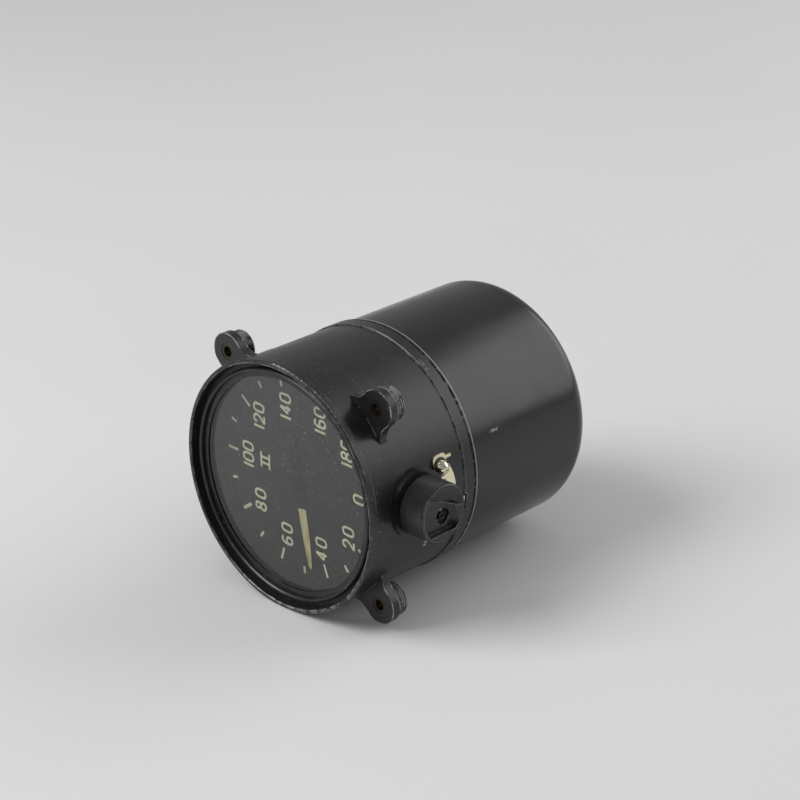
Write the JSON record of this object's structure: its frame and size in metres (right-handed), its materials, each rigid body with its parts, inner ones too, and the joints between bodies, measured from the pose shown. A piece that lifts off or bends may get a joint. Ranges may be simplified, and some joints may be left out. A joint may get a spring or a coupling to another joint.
{
  "type": "fuel quantity indicator",
  "caption": "Round panel fuel gauge with a pointer dial under glass, a flared-lug case, a drawn rear can and a small adjusting knob on the side.",
  "frame": {"origin": "on the instrument's axis, in the plane of the front faces of the four mounting lugs", "axes": "-Y is the way the dial faces, +Y runs to the rear can; the instrument lies on its side as in the picture, so the dial's top is at -X, its right side at +Z, and the side knob points along +X"},
  "size_m": [0.0898, 0.1079, 0.08],
  "materials": {
    "case_paint": "satin black stove paint on cast aluminium",
    "can_paint": "smooth semi-gloss black paint on drawn steel",
    "knob_black": "satin black moulded",
    "retainer_black": "semi-gloss black",
    "dial_black": "matt dark grey",
    "pointer_black": "matt black",
    "cover_glass": "clear",
    "rubber": "matt",
    "brass": "machined",
    "blackened_brass": "chemically blackened",
    "nickel": "dull nickel plate",
    "steel": "ground",
    "magnet_steel": "dark ground",
    "core_iron": "stacked laminations",
    "copper": "bare copper",
    "winding": "enamelled wire",
    "insulator": "phenolic board",
    "ruby": "polished"
  },
  "bodies": {
    "housing": {"case_front": "case_paint", "lug_bushes": "blackened_brass", "window_retainer": "retainer_black", "cover_glass": "cover_glass", "glass_gasket": "rubber", "dial_spacer": "retainer_black", "dial_plate": "dial_black", "dial_screws": "pointer_black", "dial_posts": "brass", "front_plate": "brass", "rear_plate": "brass", "frame_pillars": "brass", "frame_screws": "steel", "pillar_screws": "steel", "front_bearing": "brass", "rear_bearing": "brass", "front_jewel": "ruby", "rear_jewel": "ruby", "stop_pin": "steel", "hairspring": "steel", "spring_stud": "brass", "stator_ring": "core_iron", "stator_coils": "winding", "damping_cup": "copper", "knob_boss": "case_paint", "shaft_bushing": "brass", "bushing_collar": "brass", "bushing_nut": "brass", "resistor_board": "insulator", "resistor_track": "winding", "keeper_plate": "nickel", "keeper_screw": "nickel", "can_seal": "rubber", "clamp_ring": "case_paint", "rear_can": "can_paint", "socket_shell": "nickel", "socket_insulator": "insulator", "socket_contacts": "brass", "terminal_board": "insulator", "board_standoffs": "brass", "board_screws": "steel", "terminal_screws": "brass", "solder_tags": "nickel"},
    "pointer_rotor": {"pointer": "pointer_black", "pointer_hub": "pointer_black", "pointer_staff": "steel", "rotor_magnet": "magnet_steel", "stop_arm": "brass", "spring_collet": "brass"},
    "adjuster": {"side_knob": "knob_black", "knob_screw": "steel", "knob_shaft": "steel", "wiper_arm": "brass"}
  },
  "joints": [
    {"name": "pointer_turn", "type": "hinge", "parent": "housing", "child": "pointer_rotor", "pos_m": [0, 0, 0], "axis": [0, 1, 0], "range_deg": [-88.02, 252.58]},
    {"name": "knob_turn", "type": "hinge", "parent": "housing", "child": "adjuster", "pos_m": [0.045, 0.009, 0.0014], "axis": [1, 0, 0], "range_deg": [-135, 135]}
  ]
}
